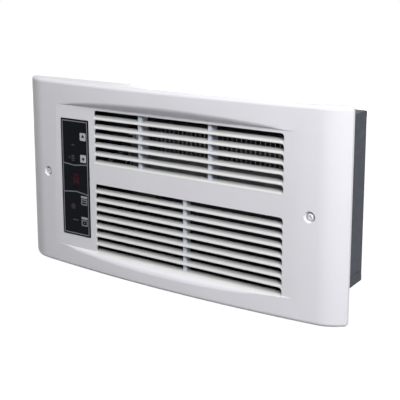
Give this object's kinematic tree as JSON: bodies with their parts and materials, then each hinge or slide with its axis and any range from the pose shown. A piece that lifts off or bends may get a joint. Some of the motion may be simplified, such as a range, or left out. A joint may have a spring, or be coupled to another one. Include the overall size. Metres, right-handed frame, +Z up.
{
  "type": "bathroom wall fan heater",
  "caption": "Recessed wall fan heater: steel wall can with cross-flow blower and finned element behind a bowed white louvred grille with a black touch control strip and sprung keys.",
  "frame": {"origin": "centre of the wall can's rear outer face", "axes": "+X to the right along the width as seen from the room, +Y into the wall (the grille faces -Y), +Z up"},
  "size_m": [0.4256, 0.1271, 0.2254],
  "materials": {
    "can_grey": "satin dark grey paint on sheet steel",
    "grille_white": "satin white heat-resistant moulding",
    "screw_white": "white painted steel",
    "strip_black": "glossy black",
    "display_smoke": "smoked red-black window",
    "display_body": "matt black module",
    "key_face": "glossy black key with grey print",
    "switch_black": "matt black",
    "board_green": "green solder mask",
    "housing_black": "matt black moulding",
    "screw_zinc": "zinc plated",
    "sensor_black": "epoxy bead",
    "sheet_galvanised": "galvanised sheet",
    "wheel_aluminium": "plain aluminium",
    "bearing_rubber": "rubber-bonded sleeve",
    "shaft_steel": "ground steel",
    "core_steel": "dark laminated steel",
    "coil_wrap": "yellow-brown tape over windings",
    "rotor_aluminium": "turned",
    "fin_aluminium": "mill-finish fins on a steel sheath",
    "ceramic_cream": "cream ceramic",
    "terminal_nickel": "nickel plated",
    "cutout_black": "phenolic body",
    "screw_green": "green chromate",
    "relay_blue": "blue relay cover",
    "transformer_black": "potted block",
    "lead_black": "black silicone-covered wire",
    "lead_white": "white silicone-covered wire",
    "ribbon_grey": "grey flat cable"
  },
  "bodies": {
    "heater": {"wall_can": "can_grey", "front_grille": "grille_white", "grille_screw_left": "screw_white", "grille_screw_right": "screw_white", "control_bezel": "strip_black", "display_window": "display_smoke", "led_display": "display_body", "key_up_switch": "switch_black", "key_down_switch": "switch_black", "key_mode_switch": "switch_black", "key_power_switch": "switch_black", "control_board": "board_green", "control_housing": "housing_black", "housing_screw_lower": "screw_zinc", "housing_screw_upper": "screw_zinc", "temperature_sensor": "sensor_black", "blower_end_left": "sheet_galvanised", "blower_end_right": "sheet_galvanised", "blower_scroll": "sheet_galvanised", "air_deck": "sheet_galvanised", "end_bearing": "bearing_rubber", "motor_core": "core_steel", "motor_coil": "coil_wrap", "motor_bridge_outer": "sheet_galvanised", "motor_bridge_inner": "sheet_galvanised", "motor_bolt_front": "screw_zinc", "motor_bolt_rear": "screw_zinc", "motor_spacer_front": "screw_zinc", "motor_spacer_rear": "screw_zinc", "heating_element": "fin_aluminium", "element_bushing_left": "ceramic_cream", "element_bushing_right": "ceramic_cream", "element_terminal_left": "terminal_nickel", "element_terminal_right": "terminal_nickel", "thermal_cutout": "cutout_black", "terminal_block": "ceramic_cream", "ground_screw": "screw_green", "power_tray": "housing_black", "power_board": "board_green", "power_relay": "relay_blue", "board_transformer": "transformer_black", "foot_screw_left_lower": "screw_zinc", "foot_screw_left_upper": "screw_zinc", "foot_screw_right_lower": "screw_zinc", "foot_screw_right_upper": "screw_zinc", "supply_lead_left": "lead_black", "supply_lead_right": "lead_white", "cutout_lead": "lead_white", "element_lead_left": "lead_black", "element_lead_right": "lead_white", "motor_lead": "lead_black", "control_ribbon": "ribbon_grey"},
    "fan": {"blower_wheel": "wheel_aluminium", "fan_shaft": "shaft_steel", "motor_rotor": "rotor_aluminium"},
    "up_key": {"key_up": "key_face"},
    "down_key": {"key_down": "key_face"},
    "mode_key": {"key_mode": "key_face"},
    "power_key": {"key_power": "key_face"}
  },
  "joints": [
    {"name": "fan_spin", "type": "hinge", "parent": "heater", "child": "fan", "pos_m": [0.05, -0.046, 0.026], "axis": [1, 0, 0], "continuous": true},
    {"name": "up_key_press", "type": "slide", "parent": "heater", "child": "up_key", "axis": [0, 1, 0], "range_m": [0, 0.0006], "stiffness_N_per_m": 300, "springref_m": -0.001},
    {"name": "down_key_press", "type": "slide", "parent": "heater", "child": "down_key", "axis": [0, 1, 0], "range_m": [0, 0.0006], "stiffness_N_per_m": 300, "springref_m": -0.001},
    {"name": "mode_key_press", "type": "slide", "parent": "heater", "child": "mode_key", "axis": [0, 1, 0], "range_m": [0, 0.0006], "stiffness_N_per_m": 300, "springref_m": -0.001},
    {"name": "power_key_press", "type": "slide", "parent": "heater", "child": "power_key", "axis": [0, 1, 0], "range_m": [0, 0.0006], "stiffness_N_per_m": 300, "springref_m": -0.001}
  ]
}
